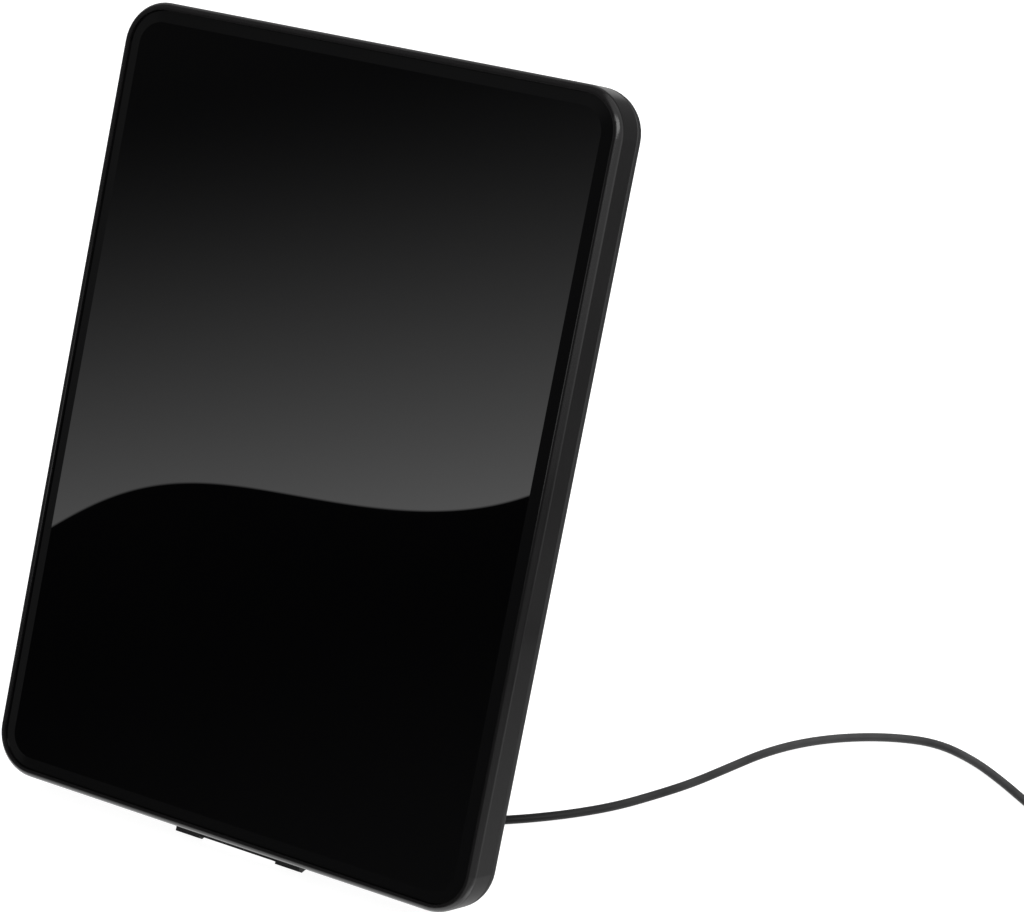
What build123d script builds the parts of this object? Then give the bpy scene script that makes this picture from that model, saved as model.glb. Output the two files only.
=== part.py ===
from build123d import *
import os
from math import cos, radians, sin, tan

os.makedirs("parts", exist_ok=True)

# Flat indoor TV antenna. Millimetres, +Z up, +X to the right seen from the front, front towards -Y.
# The origin is on the table, under the middle of the panel and leg.

# Case
panel_width = 190.0
panel_height = 266.5
panel_thickness = 19.7
corner_radius = 15.0
lean_angle = 22.0
rear_depth = 7.7
wall = 2.0
front_edge_radius = 2.3
back_edge_radius = 7.0
parting_land = 0.6
parting_chamfer = 0.4
tongue_thickness = 1.0
tongue_height = 1.6
tongue_clearance = 0.15
rear_boss_wall = 1.2

# Front lens, set flush in the rim
rim_width = 2.6
lens_clearance = 0.15
lens_thickness = 2.0
lens_bevel_width = 4.0
lens_bevel_drop = 0.7
lens_floor = 1.8

# Channel for the leg, moulded feet and rail at the bottom of the back cover
channel_width = 30.8
channel_wall = 1.8
channel_gap = 0.5
channel_head = 7.0
foot_width = 9.6
foot_reach = 4.6
foot_toe = 2.0
foot_back_inset = 1.6
rail_reach = 3.8
pad_thickness = 1.0
pad_margin = 0.4

# Fold-out leg and its hinge
hinge_height = 128.0
hinge_inset = 2.7
open_angle = 40.0
barrel_clearance = 0.35
leg_side_clearance = 0.9
leg_thickness = 3.4
leg_inset = 0.2
leg_edge_radius = 0.8
leg_skin = 1.4
leg_rim = 2.4
leg_rib = 1.6
leg_bays = 4
leg_head = 6.0
leg_tail = 8.0
leg_foot_height = 5.0
foot_tenon_thickness = 1.4
foot_tenon_height = 4.0
foot_tenon_margin = 4.0
tenon_clearance = 0.05
heel_length = 4.5
heel_thickness = 1.8
pin_radius = 1.0
pin_running_clearance = 0.05
pin_seat_clearance = 0.02
pin_boss_length = 3.2
pin_end_gap = 0.4

# Screws
boss_inset = 12.0
boss_radius = 3.6
head_recess = 4.2
head_clearance = 0.4
case_screw_radius = 1.25
case_head_radius = 2.4
case_head_height = 1.6
small_screw_radius = 1.0
small_head_radius = 1.9
small_head_height = 1.3
shank_clearance = 0.25
thread_clearance = 0.02
tip_gap = 0.9
head_edge_chamfer = 0.5
cross_width = 0.6
cross_margin = 0.7
cross_depth = 0.7

# Radiator board and matching transformer
board_side_gap = 20.0
board_top_gap = 18.0
board_bottom_gap = 64.0
board_lift = 3.0
board_thickness = 1.2
board_boss_radius = 2.8
board_boss_inset = 10.0
board_corner_radius = 3.0
foil_thickness = 0.2
foil_margin = 6.0
foil_neck = 6.0
foil_height = 96.0
feed_gap = 4.0
core_width = 12.0
core_height = 7.0
core_depth = 6.0
core_hole_radius = 1.3
core_hole_spacing = 6.0
core_edge_radius = 0.6
wire_radius = 0.45
wire_bend = 1.2
wire_overhang = 2.0

# Coax lead, clamp and strain relief
lead_radius = 1.4
lead_board_gap = 0.1
lead_start = 8.0
exit_x = 37.0
exit_height = 22.0
tail_bend = 6.5
tail_turn_height = 62.0
tail_turn_bend = 25.0
tail_end_x = 5.0
tail_end_drop = 14.0
clamp_height = 42.0
clamp_width = 20.0
clamp_depth = 4.2
clamp_length = 6.0
clamp_boss_radius = 2.6
clamp_screw_spacing = 13.0
clamp_rib = 2.0
clamp_clearance = 0.05
grommet_neck_radius = 2.9
grommet_clearance = 0.05
grommet_flange_radius = 4.2
grommet_flange_thickness = 1.2
grommet_collar_radius = 3.7
grommet_collar_length = 2.0
grommet_tail_radius = 2.2
grommet_length = 12.0
grommet_grooves = 3
grommet_groove_width = 0.9
grommet_groove_depth = 0.5
grommet_bore_clearance = 0.02

# Put-away coil, its tie and the aerial plug
coil_centre = (246.7, 115.4)
coil_layers = 4
coil_columns = 3
coil_mean_radius = 15.5
coil_entry_angle = 236.1
tie_width = 3.0
tie_thickness = 0.7
tie_lift = 0.4
tie_angle = 250.0
bend_share = 0.45
plug_heading = (-0.537, 0.844)
boot_radius = 2.4
boot_end_radius = 3.2
boot_length = 8.0
boot_lead_in = 7.8
grip_radius = 5.5
grip_length = 30.0
grip_edge_radius = 0.8
grip_grooves = 5
grip_groove_pitch = 3.0
grip_groove_width = 1.2
grip_groove_depth = 0.5
sleeve_radius = 4.75
sleeve_wall = 0.7
sleeve_root_wall = 0.35
sleeve_neck = 0.5
sleeve_length = 9.0
sleeve_socket = 4.0
sleeve_slits = 4
slit_width = 0.8
slit_turn = 45.0
slit_length = 6.5
insulator_thickness = 2.5
plug_fit = 0.02
pin_contact_radius = 1.18
pin_tip_radius = 0.6
pin_tip_length = 1.2

# Worked-out sizes
lean_sin = sin(radians(lean_angle))
lean_cos = cos(radians(lean_angle))
bezel_depth = panel_thickness - rear_depth
lip_inset = wall + tongue_clearance + tongue_thickness
inside_depth = lens_thickness + lens_floor
back_radius = min(back_edge_radius, rear_depth - parting_land)
channel_depth = rear_depth - channel_wall - channel_gap
channel_floor = panel_thickness - channel_depth
channel_front = channel_floor - channel_wall
foot_flat = channel_front + foot_toe
foot_back = panel_thickness - foot_back_inset
hinge_depth = panel_thickness - hinge_inset
floor_reach = channel_depth - hinge_inset
barrel_radius = floor_reach - barrel_clearance
pin_boss_radius = hinge_inset - leg_inset
leg_back = hinge_inset - leg_inset
leg_front = leg_back - leg_thickness
leg_width = channel_width - 2 * leg_side_clearance
board_front = inside_depth + board_lift
board_back = board_front + board_thickness
board_width = panel_width - 2 * board_side_gap
board_height = panel_height - board_top_gap - board_bottom_gap
board_middle = board_bottom_gap + board_height / 2
lead_depth = board_back + lead_board_gap + lead_radius
clamp_seat = lead_depth - lead_radius
clamp_back = clamp_seat + clamp_depth
case_seat = panel_thickness - head_recess
grommet_end = panel_thickness + grommet_length

# Place of the panel: its front-bottom edge over the table, with the box of the panel centred on the origin
panel_front_y = front_edge_radius * (lean_sin + lean_cos - 1)
panel_back_y = (
    (panel_height - back_radius) * lean_sin
    + (panel_thickness - back_radius) * lean_cos
    + back_radius
)
front_y = -(panel_front_y + panel_back_y) / 2
front_z = foot_flat * lean_sin + foot_reach * lean_cos + pad_thickness

# Panel planes: in "panel" x is right, y is up the panel, and the normal comes out of the front.
# In "section" x is the depth behind the front face, y is up the panel, and the normal is +X.
panel = Plane(origin=(0, front_y, front_z), x_dir=(1, 0, 0), z_dir=(0, -lean_cos, lean_sin))
section = Plane(origin=panel.origin, x_dir=(0, lean_cos, -lean_sin), z_dir=(1, 0, 0))
out_of_front = Axis(panel.origin, panel.z_dir)


def layer(depth):
    return panel.offset(-depth)


def spot(x, height, depth):
    return panel.from_local_coords(Vector(x, height, -depth))


case_screw_spots = [
    (side * (panel_width / 2 - boss_inset), height)
    for side in (-1, 1)
    for height in (boss_inset, panel_height / 2, panel_height - boss_inset)
]
board_screw_spots = [
    (side * (board_width / 2 - board_boss_inset), height)
    for side in (-1, 1)
    for height in (
        board_bottom_gap + board_boss_inset,
        board_bottom_gap + board_height - board_boss_inset,
    )
]
clamp_screw_spots = [
    (exit_x - clamp_screw_spacing / 2, clamp_height),
    (exit_x + clamp_screw_spacing / 2, clamp_height),
]


def outline(inset, mode=Mode.ADD):
    with Locations((0, panel_height / 2)):
        RectangleRounded(
            panel_width - 2 * inset,
            panel_height - 2 * inset,
            corner_radius - inset,
            mode=mode,
        )


def discs(spots, radius):
    with Locations(*spots):
        Circle(radius)


# Front bezel: the rim and side wall, with the lens pocket in front and the bosses behind
with BuildPart() as front_bezel:
    with BuildSketch(layer(0)):
        outline(0)
    extrude(amount=-bezel_depth)
    fillet(front_bezel.faces().sort_by(out_of_front)[-1].edges(), front_edge_radius)
    chamfer(front_bezel.faces().sort_by(out_of_front)[0].edges(), parting_chamfer)
    with BuildSketch(layer(0)):
        outline(rim_width)
    extrude(amount=-lens_thickness, mode=Mode.SUBTRACT)
    with BuildSketch(layer(inside_depth)):
        outline(wall)
    extrude(amount=-(bezel_depth - inside_depth), mode=Mode.SUBTRACT)
    with BuildSketch(layer(inside_depth)):
        discs(case_screw_spots, boss_radius)
    extrude(amount=-(bezel_depth - inside_depth))
    with BuildSketch(layer(inside_depth)):
        discs(board_screw_spots, board_boss_radius)
    extrude(amount=-board_lift)
    with BuildSketch(layer(inside_depth)):
        discs(clamp_screw_spots, clamp_boss_radius)
        with Locations((exit_x, clamp_height)):
            Rectangle(clamp_screw_spacing, clamp_rib)
    extrude(amount=-(clamp_seat - inside_depth))
    with BuildSketch(layer(inside_depth)):
        discs(case_screw_spots, case_screw_radius + thread_clearance)
    extrude(amount=-(bezel_depth - inside_depth), mode=Mode.SUBTRACT)
    with BuildSketch(layer(inside_depth)):
        discs(board_screw_spots, small_screw_radius + thread_clearance)
        discs(clamp_screw_spots, small_screw_radius + thread_clearance)
    extrude(amount=-(clamp_seat - inside_depth), mode=Mode.SUBTRACT)
front_bezel.part.label = "front_bezel"
export_step(front_bezel.part, "parts/front_bezel.step")

# Front lens: a gloss plate with a wide, shallow bevel round its edge
with BuildPart() as front_lens:
    with BuildSketch(layer(0)):
        outline(rim_width + lens_clearance)
    extrude(amount=-lens_thickness)
    lens_face = front_lens.faces().sort_by(out_of_front)[-1]
    chamfer(lens_face.edges(), lens_bevel_width, lens_bevel_drop, reference=lens_face)
front_lens.part.label = "front_lens"
export_step(front_lens.part, "parts/front_lens.step")

# Space inside the back cover, with back edges that follow the outside
with BuildPart() as rear_space:
    with BuildSketch(layer(bezel_depth)):
        outline(lip_inset)
    extrude(amount=-(rear_depth - wall))
    fillet(rear_space.faces().sort_by(out_of_front)[0].edges(), back_radius - lip_inset)

# Back cover: shell, moulded feet and rail, leg channel, hinge bosses, screw bosses and lead hole
foot_rise = (foot_back - foot_flat) * tan(radians(lean_angle))
channel_top = hinge_height + channel_head
channel_side = channel_width / 2 + channel_wall
hinge_point = spot(0, hinge_height, hinge_depth)
with BuildPart() as rear_cover:
    with BuildSketch(layer(bezel_depth)):
        outline(0)
    extrude(amount=-rear_depth)
    fillet(rear_cover.faces().sort_by(out_of_front)[0].edges(), back_radius)
    chamfer(rear_cover.faces().sort_by(out_of_front)[-1].edges(), parting_chamfer)
    for side in (-1, 1):
        with BuildSketch(section.offset(side * (channel_width + foot_width) / 2)):
            with BuildLine():
                Polyline(
                    (channel_front, back_radius),
                    (channel_front, -foot_reach),
                    (foot_flat, -foot_reach),
                    (foot_back, foot_rise - foot_reach),
                    (foot_back, back_radius),
                    close=True,
                )
            make_face()
        extrude(amount=foot_width / 2, both=True)
    with BuildSketch(layer(channel_front)):
        with Locations((0, -rail_reach)):
            Rectangle(
                channel_width + 2 * foot_width,
                rail_reach + back_radius,
                align=(Align.CENTER, Align.MIN),
            )
    extrude(amount=-channel_wall)
    add(rear_space.part, mode=Mode.SUBTRACT)
    with BuildSketch(layer(bezel_depth)):
        outline(wall + tongue_clearance)
        outline(lip_inset, mode=Mode.SUBTRACT)
    extrude(amount=tongue_height)
    with BuildSketch(layer(channel_front)):
        with Locations((0, wall)):
            Rectangle(2 * channel_side, channel_top + channel_wall - wall, align=(Align.CENTER, Align.MIN))
    extrude(amount=-(panel_thickness - wall - channel_front))
    with BuildSketch(Plane(origin=hinge_point, x_dir=section.x_dir, z_dir=section.z_dir)):
        Circle(pin_boss_radius)
    extrude(amount=channel_side + pin_boss_length, both=True)
    with BuildSketch(layer(bezel_depth)):
        discs(case_screw_spots, case_head_radius + head_clearance + rear_boss_wall)
    extrude(amount=-(rear_depth - wall))
    with BuildSketch(layer(channel_floor)):
        with Locations((0, channel_top)):
            Rectangle(
                channel_width,
                channel_top + rail_reach + foot_reach,
                align=(Align.CENTER, Align.MAX),
            )
    extrude(amount=-2 * channel_depth, mode=Mode.SUBTRACT)
    with BuildSketch(Plane(origin=hinge_point, x_dir=section.x_dir, z_dir=section.z_dir)):
        Circle(pin_radius + pin_seat_clearance)
    extrude(amount=channel_side + pin_boss_length, both=True, mode=Mode.SUBTRACT)
    with BuildSketch(layer(bezel_depth)):
        discs(case_screw_spots, case_screw_radius + shank_clearance)
    extrude(amount=-rear_depth, mode=Mode.SUBTRACT)
    with BuildSketch(layer(case_seat)):
        discs(case_screw_spots, case_head_radius + head_clearance)
    extrude(amount=-head_recess, mode=Mode.SUBTRACT)
    with BuildSketch(layer(bezel_depth)):
        with Locations((exit_x, exit_height)):
            Circle(grommet_neck_radius + grommet_clearance)
    extrude(amount=-rear_depth, mode=Mode.SUBTRACT)
rear_cover.part.label = "rear_cover"
export_step(rear_cover.part, "parts/rear_cover.step")

# Rubber pads under the moulded feet
pad_front_y = front_y + foot_flat * lean_cos - foot_reach * lean_sin + pad_margin
pad_back_y = front_y + foot_back * lean_cos + (foot_rise - foot_reach) * lean_sin - pad_margin
with BuildPart() as foot_pads:
    with BuildSketch():
        with Locations((0, (pad_front_y + pad_back_y) / 2)):
            with GridLocations(channel_width + foot_width, 1, 2, 1):
                Rectangle(foot_width - 2 * pad_margin, pad_back_y - pad_front_y)
    extrude(amount=pad_thickness)
foot_pads.part.label = "foot_pads"
export_step(foot_pads.part, "parts/foot_pads.step")

# Hinge pin, pressed into the bosses beside the channel
with BuildPart() as hinge_pin:
    with BuildSketch(Plane(origin=hinge_point, x_dir=section.x_dir, z_dir=section.z_dir)):
        Circle(pin_radius)
    extrude(amount=channel_side + pin_boss_length - pin_end_gap, both=True)
hinge_pin.part.label = "hinge_pin"
export_step(hinge_pin.part, "parts/hinge_pin.step")

# Leg, open: its own section plane is turned about the hinge by the open angle
leg_tilt = radians(open_angle - lean_angle)
leg_out = Vector(0, cos(leg_tilt), sin(leg_tilt))
leg_up = Vector(0, -sin(leg_tilt), cos(leg_tilt))
leg_section = Plane(origin=hinge_point, x_dir=leg_out, z_dir=(1, 0, 0))
leg_inside = Plane(origin=hinge_point + leg_out * leg_front, x_dir=(1, 0, 0), z_dir=-leg_out)


def table_below(offset):
    return -(hinge_point.Z + offset * sin(leg_tilt)) / cos(leg_tilt)


leg_end = -table_below(leg_front) - leg_foot_height
bay_pitch = (leg_end - leg_head - leg_tail + leg_rib) / leg_bays
with BuildPart() as stand_leg:
    with BuildSketch(leg_section):
        with Locations((leg_front, 0)):
            Rectangle(leg_thickness, leg_end, align=(Align.MIN, Align.MAX))
    extrude(amount=leg_width / 2, both=True)
    outer_edges = stand_leg.faces().sort_by(Axis(hinge_point, leg_out))[-1].edges()
    fillet(outer_edges.filter_by(Axis(hinge_point, leg_up)), leg_edge_radius)
    with BuildSketch(leg_inside):
        with Locations((0, -(leg_head + leg_end - leg_tail) / 2)):
            with GridLocations(leg_width, bay_pitch, 1, leg_bays):
                Rectangle(leg_width - 2 * leg_rim, bay_pitch - leg_rib)
    extrude(amount=-(leg_thickness - leg_skin), mode=Mode.SUBTRACT)
    with BuildSketch(leg_section):
        Circle(barrel_radius)
    extrude(amount=leg_width / 2, both=True)
    with BuildSketch(Plane(origin=hinge_point, x_dir=section.x_dir, z_dir=section.z_dir)):
        with Locations((-floor_reach, 0)):
            Rectangle(heel_thickness, heel_length, align=(Align.MIN, Align.MIN))
    extrude(amount=leg_width / 2, both=True)
    with BuildSketch(leg_section):
        Circle(pin_radius + pin_running_clearance)
    extrude(amount=leg_width / 2, both=True, mode=Mode.SUBTRACT)
    with BuildSketch(leg_section):
        with Locations(((leg_front + leg_back) / 2, -leg_end)):
            Rectangle(
                foot_tenon_thickness + 2 * tenon_clearance,
                foot_tenon_height + tenon_clearance,
                align=(Align.CENTER, Align.MIN),
            )
    extrude(amount=leg_width / 2 - foot_tenon_margin + tenon_clearance, both=True, mode=Mode.SUBTRACT)
stand_leg.part.label = "stand_leg"
export_step(stand_leg.part, "parts/stand_leg.step")

# Rubber end of the leg, flat on the table, with a tenon up into the leg
with BuildPart() as stand_foot:
    with BuildSketch(leg_section):
        with BuildLine():
            Polyline(
                (leg_front, -leg_end),
                (leg_front, table_below(leg_front)),
                (leg_back, table_below(leg_back)),
                (leg_back, -leg_end),
                close=True,
            )
        make_face()
    extrude(amount=leg_width / 2, both=True)
    with BuildSketch(leg_section):
        with Locations(((leg_front + leg_back) / 2, -leg_end)):
            Rectangle(foot_tenon_thickness, foot_tenon_height, align=(Align.CENTER, Align.MIN))
    extrude(amount=leg_width / 2 - foot_tenon_margin, both=True)
stand_foot.part.label = "stand_foot"
export_step(stand_foot.part, "parts/stand_foot.step")


def pan_screws(spots, seat, tip, shank_radius, head_radius, head_height):
    with BuildPart() as screws:
        with BuildSketch(layer(tip)):
            discs(spots, shank_radius)
        extrude(amount=-(seat - tip))
        with BuildSketch(layer(seat)):
            discs(spots, head_radius)
        extrude(amount=-head_height)
        heads = screws.faces().sort_by(out_of_front)[: len(spots)]
        chamfer(heads.edges(), head_edge_chamfer)
        with BuildSketch(layer(seat + head_height)):
            with Locations(*spots):
                Rectangle(2 * (head_radius - cross_margin), cross_width)
                Rectangle(cross_width, 2 * (head_radius - cross_margin))
        extrude(amount=cross_depth, mode=Mode.SUBTRACT)
    return screws


# Screws that close the case, hold the board and hold the lead clamp
case_screws = pan_screws(
    case_screw_spots,
    case_seat,
    inside_depth + tip_gap,
    case_screw_radius,
    case_head_radius,
    case_head_height,
)
case_screws.part.label = "case_screws"
export_step(case_screws.part, "parts/case_screws.step")

board_screws = pan_screws(
    board_screw_spots,
    board_back,
    inside_depth + tip_gap,
    small_screw_radius,
    small_head_radius,
    small_head_height,
)
board_screws.part.label = "board_screws"
export_step(board_screws.part, "parts/board_screws.step")

clamp_screws = pan_screws(
    clamp_screw_spots,
    clamp_back,
    inside_depth + tip_gap,
    small_screw_radius,
    small_head_radius,
    small_head_height,
)
clamp_screws.part.label = "clamp_screws"
export_step(clamp_screws.part, "parts/clamp_screws.step")

# Radiator board
with BuildPart() as radiator_board:
    with BuildSketch(layer(board_front)):
        with Locations((0, board_middle)):
            RectangleRounded(board_width, board_height, board_corner_radius)
    extrude(amount=-board_thickness)
    with BuildSketch(layer(board_front)):
        discs(board_screw_spots, small_screw_radius + shank_clearance)
    extrude(amount=-board_thickness, mode=Mode.SUBTRACT)
radiator_board.part.label = "radiator_board"
export_step(radiator_board.part, "parts/radiator_board.step")

# Copper wings of the dipole, on the front of the board
wing_end = board_width / 2 - foil_margin
with BuildPart() as radiator_foil:
    with BuildSketch(layer(board_front)):
        for side in (-1, 1):
            with BuildLine():
                Polyline(
                    (side * feed_gap / 2, board_middle - foil_neck / 2),
                    (side * wing_end, board_middle - foil_height / 2),
                    (side * wing_end, board_middle + foil_height / 2),
                    (side * feed_gap / 2, board_middle + foil_neck / 2),
                    close=True,
                )
            make_face()
    extrude(amount=foil_thickness)
radiator_foil.part.label = "radiator_foil"
export_step(radiator_foil.part, "parts/radiator_foil.step")

# Two-hole ferrite core on the back of the board, at the feed point
core_middle = board_back + core_depth / 2
with BuildPart() as balun_core:
    with BuildSketch(layer(board_back)):
        with Locations((0, board_middle)):
            Rectangle(core_width, core_height)
    extrude(amount=-core_depth)
    fillet(balun_core.edges().filter_by(Axis(panel.origin, panel.y_dir)), core_edge_radius)
    with BuildSketch(Plane(origin=spot(0, board_middle, core_middle), x_dir=(1, 0, 0), z_dir=panel.y_dir)):
        with GridLocations(core_hole_spacing, 1, 2, 1):
            Circle(core_hole_radius)
    extrude(amount=core_height, both=True, mode=Mode.SUBTRACT)
balun_core.part.label = "balun_core"
export_step(balun_core.part, "parts/balun_core.step")

# Wire loop through both holes of the core, with its ends square on the board
wire_x = core_hole_spacing / 2
wire_low = board_middle - core_height / 2 - wire_overhang
wire_high = board_middle + core_height / 2 + wire_overhang
wire_start = spot(-wire_x, wire_low, board_back)
with BuildPart() as balun_winding:
    with BuildLine():
        FilletPolyline(
            wire_start,
            spot(-wire_x, wire_low, core_middle),
            spot(-wire_x, wire_high, core_middle),
            spot(wire_x, wire_high, core_middle),
            spot(wire_x, wire_low, core_middle),
            spot(wire_x, wire_low, board_back),
            radius=wire_bend,
        )
    with BuildSketch(Plane(origin=wire_start, z_dir=-panel.z_dir)):
        Circle(wire_radius)
    sweep()
balun_winding.part.label = "balun_winding"
export_step(balun_winding.part, "parts/balun_winding.step")

# Inner length of the coax lead: in through the strain relief, up under the clamp and over to the core
tail_start = spot(exit_x, exit_height, grommet_end)
with BuildPart() as lead_tail:
    with BuildLine():
        FilletPolyline(
            tail_start,
            spot(exit_x, exit_height, lead_depth),
            spot(exit_x, tail_turn_height, lead_depth),
            spot(tail_end_x, board_middle - tail_end_drop, lead_depth),
            radius=[tail_bend, tail_turn_bend],
        )
    with BuildSketch(Plane(origin=tail_start, z_dir=panel.z_dir)):
        Circle(lead_radius)
    sweep()
lead_tail.part.label = "lead_tail"
export_step(lead_tail.part, "parts/lead_tail.step")

# Clamp bar over the lead, with a groove that the lead lies in
with BuildPart() as cable_clamp:
    with BuildSketch(layer(clamp_seat)):
        with Locations((exit_x, clamp_height)):
            Rectangle(clamp_width, clamp_length)
    extrude(amount=-clamp_depth)
    groove_centre = spot(exit_x, clamp_height, lead_depth)
    with BuildSketch(Plane(origin=groove_centre, x_dir=(1, 0, 0), z_dir=panel.y_dir)):
        Circle(lead_radius + clamp_clearance)
        with Locations((0, -lead_radius)):
            Rectangle(2 * (lead_radius + clamp_clearance), 2 * lead_radius)
    extrude(amount=clamp_length, both=True, mode=Mode.SUBTRACT)
    with BuildSketch(layer(clamp_seat)):
        discs(clamp_screw_spots, small_screw_radius + shank_clearance)
    extrude(amount=-clamp_depth, mode=Mode.SUBTRACT)
cable_clamp.part.label = "cable_clamp"
export_step(cable_clamp.part, "parts/cable_clamp.step")

# Strain relief: turned about the lead, with a neck in the hole of the back cover and grooves in its tail
exit_section = Plane(origin=spot(exit_x, exit_height, 0), x_dir=section.x_dir, z_dir=section.z_dir)
exit_axis = Axis(exit_section.origin, exit_section.x_dir)
grommet_bore = lead_radius + grommet_bore_clearance
collar_end = panel_thickness + grommet_collar_length
groove_pitch = (grommet_end - collar_end) / (grommet_grooves + 1)
with BuildPart() as lead_grommet:
    with BuildSketch(exit_section):
        with BuildLine():
            Polyline(
                (panel_thickness - wall - grommet_flange_thickness, grommet_bore),
                (panel_thickness - wall - grommet_flange_thickness, grommet_flange_radius),
                (panel_thickness - wall, grommet_flange_radius),
                (panel_thickness - wall, grommet_neck_radius),
                (panel_thickness, grommet_neck_radius),
                (panel_thickness, grommet_collar_radius),
                (collar_end, grommet_collar_radius),
                (grommet_end, grommet_tail_radius),
                (grommet_end, grommet_bore),
                close=True,
            )
        make_face()
    revolve(axis=exit_axis)
    with BuildSketch(exit_section):
        for groove in range(1, grommet_grooves + 1):
            taper_drop = (grommet_collar_radius - grommet_tail_radius) * groove / (grommet_grooves + 1)
            groove_floor = grommet_collar_radius - taper_drop - grommet_groove_depth
            with Locations((collar_end + groove * groove_pitch, groove_floor)):
                Rectangle(grommet_groove_width, grommet_collar_radius, align=(Align.CENTER, Align.MIN))
    revolve(axis=exit_axis, mode=Mode.SUBTRACT)
lead_grommet.part.label = "lead_grommet"
export_step(lead_grommet.part, "parts/lead_grommet.step")


# Lead outside the case: straight runs joined by arcs that take most of the shorter run at each corner
def bend_radii(points):
    runs = [end - start for start, end in zip(points, points[1:])]
    return [
        bend_share * min(before.length, after.length) / tan(radians(before.get_angle(after)) / 2)
        for before, after in zip(runs, runs[1:])
    ]


def lead_tube(points):
    radii = bend_radii(points)
    print("bend radii", [round(radius, 1) for radius in radii])
    with BuildPart() as tube:
        with BuildLine():
            FilletPolyline(*points, radius=radii)
        with BuildSketch(Plane(origin=points[0], z_dir=points[1] - points[0])):
            Circle(lead_radius)
        sweep()
    return tube


coil_inside = coil_mean_radius - coil_columns * lead_radius
coil_outside = coil_mean_radius + coil_columns * lead_radius
coil_height = 2 * coil_layers * lead_radius
entry_radius = coil_outside - lead_radius
entry_angle = radians(coil_entry_angle)
coil_x, coil_y = coil_centre
lead_route = [
    spot(exit_x, exit_height, grommet_end),
    spot(exit_x, exit_height, grommet_end + lead_start),
    Vector(38.6, -6.6, 11.4),
    Vector(42.6, -1.8, 6.0),
    Vector(48.6, 2.2, 2.4),
]
lead_route += [
    Vector(x, y, lead_radius)
    for x, y in (
        (56.0, 6.9),
        (64.5, 12.6),
        (74.5, 20.4),
        (85.0, 30.2),
        (94.8, 41.6),
        (103.0, 54.4),
        (110.0, 68.0),
        (116.2, 82.6),
        (122.6, 97.4),
        (131.0, 111.2),
        (142.6, 122.8),
        (157.0, 131.4),
        (172.0, 135.4),
        (187.0, 131.6),
        (200.5, 124.0),
        (213.0, 115.6),
        (225.4, 107.4),
        (coil_x + entry_radius * cos(entry_angle), coil_y + entry_radius * sin(entry_angle)),
    )
]
coax_lead = lead_tube(lead_route)
coax_lead.part.label = "coax_lead"
export_step(coax_lead.part, "parts/coax_lead.step")

# Put-away length of the lead, as one closed ring
coil_axis = Axis((coil_x, coil_y, 0), (0, 0, 1))
coil_section = Plane(origin=(coil_x, coil_y, 0), x_dir=(1, 0, 0), z_dir=(0, -1, 0))
with BuildPart() as lead_coil:
    with BuildSketch(coil_section):
        with Locations((coil_mean_radius, coil_height / 2)):
            Rectangle(coil_outside - coil_inside, coil_height)
    revolve(axis=coil_axis)
lead_coil.part.label = "lead_coil"
export_step(lead_coil.part, "parts/lead_coil.step")

# Strap that holds the turns together
tie_turn = radians(tie_angle)
tie_section = Plane(
    origin=(coil_x, coil_y, 0),
    x_dir=(cos(tie_turn), sin(tie_turn), 0),
    z_dir=(sin(tie_turn), -cos(tie_turn), 0),
)
tie_span = coil_outside - coil_inside + 2 * tie_lift
with BuildPart() as coil_tie:
    with BuildSketch(tie_section):
        with Locations((coil_mean_radius, (coil_height + tie_lift) / 2)):
            Rectangle(tie_span, coil_height + tie_lift)
            Rectangle(
                tie_span - 2 * tie_thickness,
                coil_height + tie_lift - 2 * tie_thickness,
                mode=Mode.SUBTRACT,
            )
    extrude(amount=tie_width / 2, both=True)
coil_tie.part.label = "coil_tie"
export_step(coil_tie.part, "parts/coil_tie.step")

# Free end of the lead, from the top of the coil over its turns to the plug on the table
plug_dir = Vector(plug_heading[0], plug_heading[1], 0).normalized()
end_route = [
    Vector(coil_x + x, coil_y + y, z)
    for x, y, z in (
        (9.0, -8.5, 10.5),
        (14.2, -1.2, 13.0),
        (17.6, 7.2, 13.4),
        (17.0, 16.2, 9.2),
        (13.2, 24.4, grip_radius),
    )
]
plug_start = end_route[-1] + plug_dir * boot_lead_in
end_route.append(plug_start)
lead_end = lead_tube(end_route)
lead_end.part.label = "lead_end"
export_step(lead_end.part, "parts/lead_end.step")

# Aerial plug, turned about its own axis: boot and grip in one, with finger grooves and a socket
plug_section = Plane(origin=plug_start, x_dir=plug_dir, z_dir=plug_dir.cross(Vector(0, 0, 1)))
plug_axis = Axis(plug_start, plug_dir)
grip_end = boot_length + grip_length
socket_floor = grip_end - sleeve_socket
sleeve_step = grip_end + sleeve_neck
sleeve_end = sleeve_step + sleeve_length
sleeve_bore = sleeve_radius - sleeve_wall
sleeve_root_radius = sleeve_bore + sleeve_root_wall
groove_first = boot_length + (grip_length - sleeve_socket - (grip_grooves - 1) * grip_groove_pitch) / 2
with BuildPart() as plug_grip:
    with BuildSketch(plug_section):
        with BuildLine():
            Polyline(
                (0, 0),
                (0, boot_radius),
                (boot_length, boot_end_radius),
                (boot_length, grip_radius - grip_edge_radius),
                (boot_length + grip_edge_radius, grip_radius),
                (grip_end - grip_edge_radius / 2, grip_radius),
                (grip_end, grip_radius - grip_edge_radius / 2),
                (grip_end, sleeve_root_radius + plug_fit),
                (socket_floor, sleeve_root_radius + plug_fit),
                (socket_floor, 0),
                close=True,
            )
        make_face()
    revolve(axis=plug_axis)
    with BuildSketch(plug_section):
        for groove in range(grip_grooves):
            groove_place = groove_first + groove * grip_groove_pitch
            with Locations((groove_place, grip_radius - grip_groove_depth)):
                Rectangle(grip_groove_width, grip_radius, align=(Align.CENTER, Align.MIN))
    revolve(axis=plug_axis, mode=Mode.SUBTRACT)
plug_grip.part.label = "plug_grip"
export_step(plug_grip.part, "parts/plug_grip.step")

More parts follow.
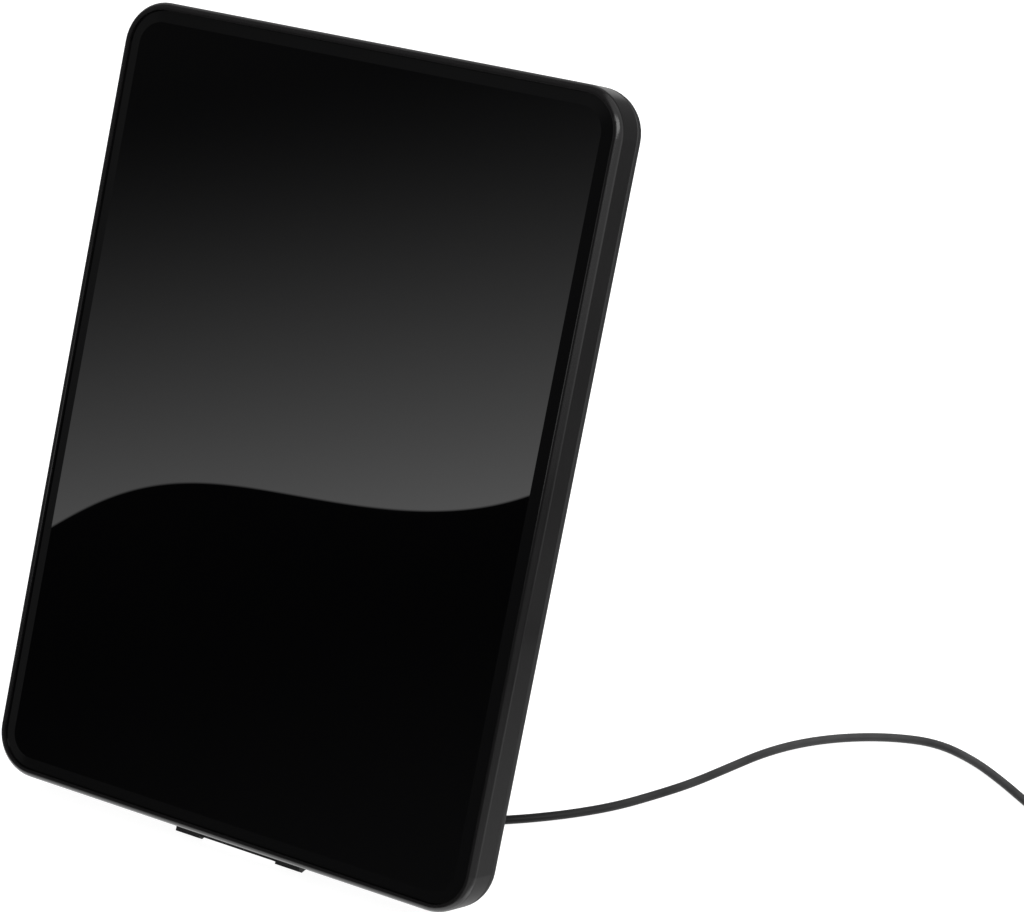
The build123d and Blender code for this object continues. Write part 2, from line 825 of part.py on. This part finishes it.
# Outer contact sleeve: a thin root in the grip's socket, and a full-size barrel slit into springs
slit_plane = Plane(origin=plug_start + plug_dir * sleeve_end, x_dir=plug_section.z_dir, z_dir=plug_dir)
with BuildPart() as plug_sleeve:
    with BuildSketch(plug_section):
        with Locations((socket_floor, sleeve_bore)):
            Rectangle(sleeve_end - socket_floor, sleeve_root_wall, align=(Align.MIN, Align.MIN))
        with Locations((sleeve_step, sleeve_bore)):
            Rectangle(sleeve_length, sleeve_wall, align=(Align.MIN, Align.MIN))
    revolve(axis=plug_axis)
    with BuildSketch(slit_plane):
        with PolarLocations(sleeve_radius, sleeve_slits, start_angle=slit_turn):
            Rectangle(4 * sleeve_wall, slit_width)
    extrude(amount=-slit_length, mode=Mode.SUBTRACT)
plug_sleeve.part.label = "plug_sleeve"
export_step(plug_sleeve.part, "parts/plug_sleeve.step")

# Insulator in the root of the sleeve
insulator_radius = sleeve_bore - plug_fit
with BuildPart() as plug_insulator:
    with BuildSketch(plug_section):
        with Locations((socket_floor, pin_contact_radius + plug_fit)):
            Rectangle(
                insulator_thickness,
                insulator_radius - pin_contact_radius - plug_fit,
                align=(Align.MIN, Align.MIN),
            )
    revolve(axis=plug_axis)
plug_insulator.part.label = "plug_insulator"
export_step(plug_insulator.part, "parts/plug_insulator.step")

# Centre pin with a tapered tip
with BuildPart() as plug_pin:
    with BuildSketch(plug_section):
        with BuildLine():
            Polyline(
                (socket_floor, 0),
                (socket_floor, pin_contact_radius),
                (sleeve_end - pin_tip_length, pin_contact_radius),
                (sleeve_end, pin_tip_radius),
                (sleeve_end, 0),
                close=True,
            )
        make_face()
    revolve(axis=plug_axis)
plug_pin.part.label = "plug_pin"
export_step(plug_pin.part, "parts/plug_pin.step")
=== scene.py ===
import bpy
import math
from mathutils import Euler, Matrix, Vector


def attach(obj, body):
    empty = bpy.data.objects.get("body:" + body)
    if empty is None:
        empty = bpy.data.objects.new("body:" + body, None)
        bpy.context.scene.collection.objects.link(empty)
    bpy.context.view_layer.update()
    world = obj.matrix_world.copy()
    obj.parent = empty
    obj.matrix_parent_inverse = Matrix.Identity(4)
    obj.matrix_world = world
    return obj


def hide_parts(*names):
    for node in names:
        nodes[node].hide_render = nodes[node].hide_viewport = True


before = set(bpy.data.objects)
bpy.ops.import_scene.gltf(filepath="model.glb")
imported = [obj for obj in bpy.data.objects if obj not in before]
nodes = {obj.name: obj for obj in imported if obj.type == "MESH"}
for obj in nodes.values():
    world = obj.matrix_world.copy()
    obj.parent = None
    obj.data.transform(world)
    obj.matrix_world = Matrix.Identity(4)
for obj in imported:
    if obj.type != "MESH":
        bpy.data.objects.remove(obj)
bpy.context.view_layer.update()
print("frame loaded with", len(nodes), "nodes")


# camera at the viewing angle of the shot
shotCamera = {
    "spot": (0.549667, -0.791178, 0.587276),
    "lookDown": 25.564,  # degrees under the horizon
    "turn": 30.811,  # degrees round from straight in front
    "lens": 114.29,  # mm
    "sensor": 36,  # mm across
    "farthest": 30,  # metres
}


def placeCamera():
    tilt = math.radians(90 - shotCamera["lookDown"])
    turn = math.radians(shotCamera["turn"])
    bpy.ops.object.camera_add(location=shotCamera["spot"], rotation=(tilt, 0, turn))
    camera = bpy.context.object
    camera.name = "shotCamera"
    camera.data.sensor_fit = "HORIZONTAL"
    camera.data.sensor_width = shotCamera["sensor"]
    camera.data.lens = shotCamera["lens"]
    camera.data.clip_end = shotCamera["farthest"]
    bpy.context.scene.camera = camera


placeCamera()
print("camera placed")


# what the finishes are made of, all on object coordinates in metres
def newFinish(name):
    finish = bpy.data.materials.new(name)
    finish.use_nodes = True
    return finish, finish.node_tree, finish.node_tree.nodes["Principled BSDF"]


def placeAxes(tree, output="Object"):
    place = tree.nodes.new("ShaderNodeTexCoord")
    axes = tree.nodes.new("ShaderNodeSeparateXYZ")
    tree.links.new(place.outputs[output], axes.inputs["Vector"])
    return axes.outputs["X"], axes.outputs["Y"], axes.outputs["Z"]


def grain(tree, size, detail=2.0, stretch=(1, 1, 1)):
    place = tree.nodes.new("ShaderNodeTexCoord")
    turn = tree.nodes.new("ShaderNodeMapping")
    turn.inputs["Scale"].default_value = stretch
    noise = tree.nodes.new("ShaderNodeTexNoise")
    noise.inputs["Scale"].default_value = 1 / size
    noise.inputs["Detail"].default_value = detail
    tree.links.new(place.outputs["Object"], turn.inputs["Vector"])
    tree.links.new(turn.outputs["Vector"], noise.inputs["Vector"])
    return noise.outputs["Fac"]


def spread(tree, fac, low, high, fromLow=0.3, fromHigh=0.7):  # noise seldom leaves 0.3 to 0.7
    ramp = tree.nodes.new("ShaderNodeMapRange")
    ramp.inputs["From Min"].default_value = fromLow
    ramp.inputs["From Max"].default_value = fromHigh
    ramp.inputs["To Min"].default_value = low
    ramp.inputs["To Max"].default_value = high
    tree.links.new(fac, ramp.inputs["Value"])
    return ramp.outputs["Result"]


def tint(tree, fac, dark, light):
    mix = tree.nodes.new("ShaderNodeMix")
    mix.data_type = "RGBA"
    mix.inputs["A"].default_value = (*dark, 1)
    mix.inputs["B"].default_value = (*light, 1)
    tree.links.new(fac, mix.inputs["Factor"])
    return mix.outputs["Result"]


def coat(tree, shader, tone, polish, look):
    tree.links.new(tint(tree, tone, look["dark"], look["light"]), shader.inputs["Base Color"])
    tree.links.new(spread(tree, polish, *look["roughness"]), shader.inputs["Roughness"])


def relief(tree, shader, fac, height):
    bump = tree.nodes.new("ShaderNodeBump")
    bump.inputs["Strength"].default_value = 1
    bump.inputs["Distance"].default_value = height
    tree.links.new(fac, bump.inputs["Height"])
    tree.links.new(bump.outputs["Normal"], shader.inputs["Normal"])


def mathNode(tree, operation, first, second=0):
    node = tree.nodes.new("ShaderNodeMath")
    node.operation = operation
    for socket, value in zip(node.inputs, (first, second)):
        if isinstance(value, (int, float)):
            socket.default_value = value
        else:
            tree.links.new(value, socket)
    return node.outputs["Value"]


def product(tree, first, *others):
    result = first
    for other in others:
        result = mathNode(tree, "MULTIPLY", result, other)
    return result


def total(tree, first, *others):
    result = first
    for other in others:
        result = mathNode(tree, "ADD", result, other)
    return result


def band(tree, value, fromTo):  # soft step, 0 at the first value and 1 at the second
    step = tree.nodes.new("ShaderNodeMapRange")
    step.interpolation_type = "SMOOTHSTEP"
    step.inputs["From Min"].default_value, step.inputs["From Max"].default_value = sorted(fromTo)
    ends = (0, 1) if fromTo[0] < fromTo[1] else (1, 0)
    step.inputs["To Min"].default_value, step.inputs["To Max"].default_value = ends
    tree.links.new(value, step.inputs["Value"])
    return step.outputs["Result"]


# moulded plastic: a fine grain under broad clouds of sheen
moulding = {"cloudSize": 0.03, "cloudDetail": 3.0, "ior": 1.5}
rimBlack = {
    "dark": (0.0036, 0.0034, 0.0036),
    "light": (0.0054, 0.0051, 0.0053),
    "roughness": (0.15, 0.19),
    "grainSize": 0.0007,
    "grainHeight": 0.000006,
}
backBlack = {
    "dark": (0.007, 0.007, 0.0073),
    "light": (0.011, 0.011, 0.0114),
    "roughness": (0.44, 0.54),
    "grainSize": 0.0006,
    "grainHeight": 0.00004,
}
legBlack = {
    "dark": (0.014, 0.014, 0.0145),
    "light": (0.02, 0.02, 0.0205),
    "roughness": (0.42, 0.52),
    "grainSize": 0.0006,
    "grainHeight": 0.00004,
}
plugBlack = {
    "dark": (0.014, 0.014, 0.015),
    "light": (0.02, 0.02, 0.021),
    "roughness": (0.4, 0.5),
    "grainSize": 0.0005,
    "grainHeight": 0.00003,
}
insulator = {
    "dark": (0.62, 0.6, 0.54),
    "light": (0.7, 0.68, 0.62),
    "roughness": (0.4, 0.5),
    "grainSize": 0.0005,
    "grainHeight": 0.00002,
}


def mouldedPlastic(name, look):
    finish, tree, shader = newFinish(name)
    cloudy = grain(tree, moulding["cloudSize"], moulding["cloudDetail"])
    fine = grain(tree, look["grainSize"])
    coat(tree, shader, fine, cloudy, look)
    relief(tree, shader, fine, look["grainHeight"])
    shader.inputs["IOR"].default_value = moulding["ior"]
    return finish


# gloss front: lacquer with a faint haze left by wiping, longer up the panel
lensBlack = {
    "dark": (0.0005, 0.0005, 0.0006),
    "light": (0.0007, 0.0007, 0.00084),
    "roughness": (0.004, 0.01),
    "hazeSize": 0.05,
    "hazeDetail": 4.0,
    "hazeStretch": (1, 1, 0.35),
    "ior": 1.5,
}


def glossLacquer(name, look):
    finish, tree, shader = newFinish(name)
    wipe = grain(tree, look["hazeSize"], look["hazeDetail"], look["hazeStretch"])
    coat(tree, shader, wipe, wipe, look)
    shader.inputs["IOR"].default_value = look["ior"]
    return finish


# jacket of the lead: painted shade makes it darker near the case, where the case shades it, and paler
# further out
leadVinyl = {
    "dark": (0.0055, 0.0055, 0.0057),
    "light": (0.06, 0.06, 0.061),
    "roughness": (0.42, 0.55),
    "paintedCaseShade": (0.07, 0.13),  # metres to the right, from full painted shade by the case to none
    "cloudSize": 0.012,
    "cloudDetail": 3.0,
    "grainSize": 0.0009,
    "grainHeight": 0.00002,
    "specular": 0.2,
}


def jacketVinyl(name, look):
    finish, tree, shader = newFinish(name)
    cloudy = grain(tree, look["cloudSize"], look["cloudDetail"])
    rightwards = placeAxes(tree)[0]
    paintedCaseShade = spread(tree, rightwards, 0, 1, *look["paintedCaseShade"])
    # colour: cloudy tone times painted shade that darkens the jacket near the case
    coat(tree, shader, product(tree, cloudy, paintedCaseShade), cloudy, look)
    shader.inputs["Specular IOR Level"].default_value = look["specular"]
    relief(tree, shader, grain(tree, look["grainSize"]), look["grainHeight"])
    return finish


# rubber of the pads and the strain relief, a little dusty
padRubber = {
    "dark": (0.02, 0.02, 0.02),
    "light": (0.032, 0.032, 0.031),
    "roughness": (0.6, 0.8),
    "dustSize": 0.004,
    "dustDetail": 4.0,
    "grainSize": 0.0006,
    "grainHeight": 0.00003,
}


def softRubber(name, look):
    finish, tree, shader = newFinish(name)
    dusty = grain(tree, look["dustSize"], look["dustDetail"])
    coat(tree, shader, dusty, dusty, look)
    relief(tree, shader, grain(tree, look["grainSize"]), look["grainHeight"])
    return finish


# plated metal and copper: fine streaks, longer upwards
plating = {"streakSize": 0.0008, "streakDetail": 3.0, "streakStretch": (1, 1, 0.15)}
zincSteel = {"dark": (0.34, 0.34, 0.35), "light": (0.46, 0.46, 0.47), "roughness": (0.28, 0.42)}
nickel = {"dark": (0.6, 0.57, 0.52), "light": (0.72, 0.69, 0.63), "roughness": (0.14, 0.24)}
copper = {"dark": (0.62, 0.3, 0.17), "light": (0.74, 0.39, 0.24), "roughness": (0.22, 0.36)}


def platedMetal(name, look):
    finish, tree, shader = newFinish(name)
    shader.inputs["Metallic"].default_value = 1
    streak = grain(tree, plating["streakSize"], plating["streakDetail"], plating["streakStretch"])
    coat(tree, shader, streak, streak, look)
    return finish


# inside: the board's lacquer over its weave, and the speckled core
boardGreen = {
    "dark": (0.012, 0.06, 0.022),
    "light": (0.022, 0.1, 0.035),
    "roughness": (0.25, 0.4),
    "weaveSize": 0.0015,
}
ferrite = {
    "dark": (0.02, 0.02, 0.022),
    "light": (0.06, 0.06, 0.062),
    "roughness": (0.55, 0.75),
    "speckSize": 0.0005,
    "speckDetail": 3.0,
    "speckHeight": 0.00003,
}


def lacqueredBoard(name, look):
    finish, tree, shader = newFinish(name)
    weave = grain(tree, look["weaveSize"])
    coat(tree, shader, weave, weave, look)
    return finish


def sinteredFerrite(name, look):
    finish, tree, shader = newFinish(name)
    speck = grain(tree, look["speckSize"], look["speckDetail"])
    coat(tree, shader, speck, speck, look)
    relief(tree, shader, speck, look["speckHeight"])
    return finish


finishes = {
    "rimBlack": mouldedPlastic("rimBlack", rimBlack),
    "lensBlack": glossLacquer("lensBlack", lensBlack),
    "backBlack": mouldedPlastic("backBlack", backBlack),
    "legBlack": mouldedPlastic("legBlack", legBlack),
    "plugBlack": mouldedPlastic("plugBlack", plugBlack),
    "padRubber": softRubber("padRubber", padRubber),
    "leadVinyl": jacketVinyl("leadVinyl", leadVinyl),
    "zincSteel": platedMetal("zincSteel", zincSteel),
    "nickel": platedMetal("nickel", nickel),
    "copper": platedMetal("copper", copper),
    "insulator": mouldedPlastic("insulator", insulator),
    "boardGreen": lacqueredBoard("boardGreen", boardGreen),
    "ferrite": sinteredFerrite("ferrite", ferrite),
}

nodeFinish = {
    "front_bezel": "rimBlack",
    "front_lens": "lensBlack",
    "rear_cover": "backBlack",
    "foot_pads": "padRubber",
    "hinge_pin": "zincSteel",
    "stand_leg": "legBlack",
    "stand_foot": "padRubber",
    "case_screws": "zincSteel",
    "board_screws": "zincSteel",
    "clamp_screws": "zincSteel",
    "radiator_board": "boardGreen",
    "radiator_foil": "copper",
    "balun_core": "ferrite",
    "balun_winding": "copper",
    "lead_tail": "leadVinyl",
    "cable_clamp": "backBlack",
    "lead_grommet": "padRubber",
    "coax_lead": "leadVinyl",
    "lead_coil": "leadVinyl",
    "coil_tie": "plugBlack",
    "lead_end": "leadVinyl",
    "plug_grip": "plugBlack",
    "plug_sleeve": "nickel",
    "plug_insulator": "insulator",
    "plug_pin": "nickel",
}


def dressNodes():
    for name, finish in nodeFinish.items():
        slots = nodes[name].data.materials
        slots.clear()
        slots.append(finishes[finish])


dressNodes()
print("solids dressed")


# coax lead: out of the strain relief, over the table, wound into the coil, and on to the plug
coaxLead = {
    "radius": 0.0015,
    "length": 1.45,
    "route": [
        (0.0370, -0.02063, 0.01922),
        (0.0370, -0.01321, 0.01623),
        (0.0386, -0.0066, 0.0114),
        (0.0426, -0.0018, 0.0060),
        (0.0486, 0.0022, 0.0024),
        (0.0560, 0.0069, 0.0015),
        (0.0645, 0.0126, 0.0015),
        (0.0745, 0.0204, 0.0015),
        (0.0850, 0.0302, 0.0015),
        (0.0948, 0.0416, 0.0015),
        (0.1028, 0.0548, 0.0015),
        (0.1099, 0.0680, 0.0015),
        (0.1158, 0.0831, 0.0015),
        (0.1218, 0.0987, 0.0015),
        (0.1304, 0.1121, 0.0015),
        (0.1422, 0.1234, 0.0015),
        (0.1567, 0.1320, 0.0015),
        (0.1716, 0.1360, 0.0015),
        (0.1870, 0.1316, 0.0015),
        (0.2005, 0.1240, 0.0015),
        (0.2130, 0.1156, 0.0015),
        (0.2254, 0.1074, 0.0015),
    ],
    "coilCentre": (0.2467, 0.1154),
    "columns": (0.0182, 0.0154, 0.0126),  # radius of each column of turns, from the outside in
    "layers": (0.0015, 0.0042, 0.0070, 0.0097),  # height of each layer of turns
    "enterAngle": 236.1,
    "leaveAngle": 316.6,
    "turnPoints": 16,
    "changeShare": 0.2,  # share of a turn that moves over to the next place
    "tail": [  # from the coil's middle
        (0.0142, -0.0012, 0.0130),
        (0.0176, 0.0072, 0.0134),
        (0.0170, 0.0162, 0.0092),
        (0.0132, 0.0244, 0.0055),
        (0.00901, 0.03098, 0.0055),
    ],
    "roundDetail": 8,
    "lengthDetail": 6,
}


def coilPoints():
    up = list(coaxLead["layers"])
    places = []
    for index, radius in enumerate(coaxLead["columns"]):
        heights = up if index % 2 == 0 else up[::-1]
        places += [(radius, height) for height in heights]
    wholeTurns = len(places) - 1
    sweep = wholeTurns * 360 + coaxLead["leaveAngle"] - coaxLead["enterAngle"]
    count = int(sweep / 360 * coaxLead["turnPoints"])
    centreX, centreY = coaxLead["coilCentre"]
    points = []
    for step in range(count + 1):
        turned = sweep * step / count
        turn = int(turned // 360)
        share = turned / 360 - turn
        change = max(0, (share - 1 + coaxLead["changeShare"]) / coaxLead["changeShare"])
        here = places[turn]
        after = places[min(turn + 1, wholeTurns)]
        radius = here[0] + (after[0] - here[0]) * change
        height = here[1] + (after[1] - here[1]) * change
        angle = math.radians(coaxLead["enterAngle"] + turned)
        points.append((centreX + radius * math.cos(angle), centreY + radius * math.sin(angle), height))
    return points


def layLead():
    centreX, centreY = coaxLead["coilCentre"]
    tail = [(centreX + x, centreY + y, z) for x, y, z in coaxLead["tail"]]
    points = coaxLead["route"] + coilPoints() + tail
    line = bpy.data.curves.new("coaxLead", "CURVE")
    line.dimensions = "3D"
    line.bevel_depth = coaxLead["radius"]
    line.bevel_resolution = coaxLead["roundDetail"]
    line.resolution_u = coaxLead["lengthDetail"]
    line.use_fill_caps = True
    spline = line.splines.new("NURBS")
    spline.points.add(len(points) - 1)
    for point, place in zip(spline.points, points):
        point.co = (*place, 1)
    spline.order_u = 3
    spline.use_endpoint_u = True
    lead = bpy.data.objects.new("coaxLead", line)
    bpy.context.scene.collection.objects.link(lead)
    line.materials.append(finishes["leadVinyl"])
    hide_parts("coax_lead", "lead_coil", "lead_end")
    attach(lead, "panel")


layLead()
print("lead laid")


# studio table, pale and plain
studioTable = {
    "size": 8.0,
    "tone": 0.3,
    "lift": 0.93,  # lit from within like a light table, so shadows stay pale
    "roughness": 0.9,
    "specular": 0.1,
}


def layTable():
    bpy.ops.mesh.primitive_plane_add(size=studioTable["size"], location=(0, 0, 0))
    table = bpy.context.object
    table.name = "studioTable"
    finish, tree, shader = newFinish("studioTable")
    tone = studioTable["tone"]
    shader.inputs["Base Color"].default_value = (tone, tone, tone, 1)
    shader.inputs["Roughness"].default_value = studioTable["roughness"]
    shader.inputs["Specular IOR Level"].default_value = studioTable["specular"]
    shader.inputs["Emission Color"].default_value = (1, 1, 1, 1)
    shader.inputs["Emission Strength"].default_value = studioTable["lift"]
    table.data.materials.append(finish)
    table.visible_glossy = False


# soft boxes: one over the panel, one in front on its right
softBoxes = {
    "topBox": {
        "spot": (-0.1, 0.35, 1.5),
        "aim": (0, 0, 0),
        "size": (1.8, 1.4),
        "power": 34,
        "mirrored": False,
    },
    "sideBox": {
        "spot": (0.812, -0.682, 0.964),
        "aim": (0.09, 0.04, 0.25),
        "size": (1.1, 0.45),
        "power": 5.5,
        "mirrored": True,
    },
}


def hangBox(name):
    box = softBoxes[name]
    aim = Vector(box["aim"]) - Vector(box["spot"])
    turn = aim.to_track_quat("-Z", "Y").to_euler()
    bpy.ops.object.light_add(type="AREA", location=box["spot"], rotation=turn)
    lamp = bpy.context.object
    lamp.name = name
    lamp.data.shape = "RECTANGLE"
    lamp.data.size, lamp.data.size_y = box["size"]
    lamp.data.energy = box["power"]
    lamp.visible_glossy = box["mirrored"]


# room round the table: how bright each part is, and the directions it lies in
sky = {
    "plain": 1.0,  # white past the table's edge, only where the lens looks straight at it
    "base": 0.025,  # dark room beyond the lamps
    "front": 0.04,
    "frontSide": (0.05, -0.3),
    "ceiling": 0.1,
    "ceilingBand": (0.45, 0.7),
    "left": 0.05,
    "leftBand": (-0.58, -0.7),
    "floor": 0.72,  # what the surfaces mirror of the table
    "floorBand": (-0.38, -0.62),
    "frontFloorBand": (-0.3, -0.46),
    "floorRight": (0.55, 0.1),
    "floorAhead": (0.55, 0.2),
    "floorLeast": 0.49,
    "underFloor": 1.0,  # more of it straight below
    "underBand": (-0.4, -0.65),
    "underAhead": (0.5, 0.1),
    "lean": 22.0,
    "rightUpper": 0.75,  # white wall on the right, its edges leaning with the panel
    "upperBand": (-0.108, -0.072),
    "rightLower": 0.5,
    "lowerBand": (-0.165, -0.235),
    "rightBand": (-0.08, 0.2),
    "rightFoot": (-0.5, -0.3),
    "rightBack": (0.8, 0.55),
    "rightFloor": 0.56,  # the table in front of that wall
    "rightFloorSide": (0.5, 0.7),
    "rightFloorBand": (-0.3, -0.45),
    "back": 0.45,  # white backdrop behind on the left
    "backBand": (0.1, 0.4),
    "backTop": (0.95, 0.75),
    "backFoot": (-0.5, -0.3),
    "backSide": (0.0, -0.3),
    "backLeast": 0.28,
}


def roomLight(tree, x, y, z):
    return total(
        tree,
        product(tree, band(tree, y, sky["frontSide"]), sky["front"]),
        product(tree, band(tree, z, sky["ceilingBand"]), sky["ceiling"]),
        product(tree, band(tree, x, sky["leftBand"]), sky["left"]),
        sky["base"],
    )


def floorLight(tree, x, y, z):
    clear = product(tree, band(tree, x, sky["floorRight"]), band(tree, y, sky["floorAhead"]))
    side = mathNode(tree, "MAXIMUM", clear, sky["floorLeast"])
    near = product(tree, band(tree, z, sky["frontFloorBand"]), band(tree, y, sky["frontSide"]))
    wide = mathNode(tree, "MAXIMUM", band(tree, z, sky["floorBand"]), near)
    below = product(tree, band(tree, z, sky["underBand"]), band(tree, y, sky["underAhead"]))
    return total(tree, product(tree, wide, side, sky["floor"]), product(tree, below, sky["underFloor"]))


def wallLight(tree, x, y, z):
    lean = math.radians(sky["lean"])
    along = total(tree, product(tree, y, math.sin(lean)), product(tree, z, math.cos(lean)))
    shine = total(
        tree,
        product(tree, band(tree, along, sky["upperBand"]), sky["rightUpper"]),
        product(tree, band(tree, along, sky["lowerBand"]), sky["rightLower"]),
    )
    wall = product(
        tree,
        shine,
        band(tree, x, sky["rightBand"]),
        band(tree, y, sky["rightBack"]),
        band(tree, z, sky["rightFoot"]),
    )
    foot = product(
        tree,
        band(tree, x, sky["rightFloorSide"]),
        band(tree, z, sky["rightFloorBand"]),
        sky["rightFloor"],
    )
    return total(tree, wall, foot)


def backdropLight(tree, x, y, z):
    return product(
        tree,
        mathNode(tree, "MAXIMUM", band(tree, x, sky["backSide"]), sky["backLeast"]),
        band(tree, y, sky["backBand"]),
        band(tree, z, sky["backTop"]),
        band(tree, z, sky["backFoot"]),
        sky["back"],
    )


def fillSky():
    studioRoom = bpy.data.worlds.new("studioRoom")
    studioRoom.use_nodes = True
    tree = studioRoom.node_tree
    x, y, z = placeAxes(tree, "Generated")
    rays = tree.nodes.new("ShaderNodeLightPath")
    light = total(
        tree,
        floorLight(tree, x, y, z),
        wallLight(tree, x, y, z),
        backdropLight(tree, x, y, z),
        roomLight(tree, x, y, z),
        product(tree, rays.outputs["Is Camera Ray"], sky["plain"]),
    )
    background = tree.nodes["Background"]
    background.inputs["Color"].default_value = (1, 1, 1, 1)
    tree.links.new(light, background.inputs["Strength"])
    bpy.context.scene.world = studioRoom


# dark card with a glow, which the gloss front mirrors
glowCard = {
    "spot": (-0.62321, -1.00361, 0.38134),
    "lookUp": 11.882,  # degrees, square to the mirrored line of sight
    "turn": 147.94,
    "roll": -31.43,
    "width": 0.56,
    "height": 0.66,
    "edgeHeight": -0.03767,  # the glow's lower edge is a slow wave with a faint ripple on it
    "edgeSwing": 0.0255,
    "edgeCrest": 0.0935,
    "edgePeriod": 0.42,
    "rippleSwing": 0.00158,
    "rippleCrest": 0.1239,
    "ripplePeriod": 0.21,
    "edgeSoftness": 0.0016,
    "fadeTop": 0.26,  # from its lower edge the glow fades to a haze up here
    "fadeLength": 0.295,
    "fadePower": 2.0,
    "peak": 1.5,
    "haze": 0.035,
    "dim": 0.01,  # the card's own tone
    "footGlow": 0.055,
    "footBand": (-0.1, -0.4),
}


def swell(tree, across, swing, crest, period):
    fromCrest = mathNode(tree, "SUBTRACT", across, crest)
    phase = product(tree, fromCrest, 2 * math.pi / period)
    return product(tree, mathNode(tree, "COSINE", phase), swing)


def cardLight(tree):
    across, upward = placeAxes(tree)[:2]
    slow = swell(tree, across, glowCard["edgeSwing"], glowCard["edgeCrest"], glowCard["edgePeriod"])
    ripple = swell(tree, across, glowCard["rippleSwing"], glowCard["rippleCrest"], glowCard["ripplePeriod"])
    edge = total(tree, slow, ripple, glowCard["edgeHeight"])
    over = mathNode(tree, "DIVIDE", mathNode(tree, "SUBTRACT", upward, edge), glowCard["edgeSoftness"])
    lit = tree.nodes.new("ShaderNodeClamp")
    tree.links.new(total(tree, over, 0.5), lit.inputs["Value"])  # half lit on the edge itself
    toTop = mathNode(tree, "SUBTRACT", glowCard["fadeTop"], upward)
    share = mathNode(tree, "MAXIMUM", mathNode(tree, "DIVIDE", toTop, glowCard["fadeLength"]), 0)
    fade = mathNode(tree, "POWER", share, glowCard["fadePower"])
    glow = total(tree, product(tree, fade, glowCard["peak"]), glowCard["haze"])
    wave = product(tree, glow, lit.outputs["Result"])
    foot = product(tree, band(tree, upward, glowCard["footBand"]), glowCard["footGlow"])
    return total(tree, wave, foot, glowCard["dim"])


def hangGlowCard():
    bpy.ops.mesh.primitive_plane_add(size=1)
    card = bpy.context.object
    card.name = "glowCard"
    for corner in card.data.vertices:
        corner.co.x *= glowCard["width"]
        corner.co.y *= glowCard["height"]
    tilt = math.radians(90 + glowCard["lookUp"])
    facing = Euler((tilt, 0, math.radians(glowCard["turn"]))).to_matrix().to_4x4()
    roll = Matrix.Rotation(math.radians(glowCard["roll"]), 4, "Z")
    card.matrix_world = Matrix.Translation(glowCard["spot"]) @ facing @ roll
    finish, tree, shader = newFinish("glowCard")
    tree.nodes.remove(shader)
    emit = tree.nodes.new("ShaderNodeEmission")
    tree.links.new(cardLight(tree), emit.inputs["Strength"])
    tree.links.new(emit.outputs["Emission"], tree.nodes["Material Output"].inputs["Surface"])
    card.data.materials.append(finish)
    card.visible_camera = False
    card.visible_diffuse = False
    card.visible_shadow = False


layTable()
hangBox("topBox")
hangBox("sideBox")
fillSky()
hangGlowCard()
bpy.context.scene.view_settings.view_transform = "Standard"
print("studio lit")
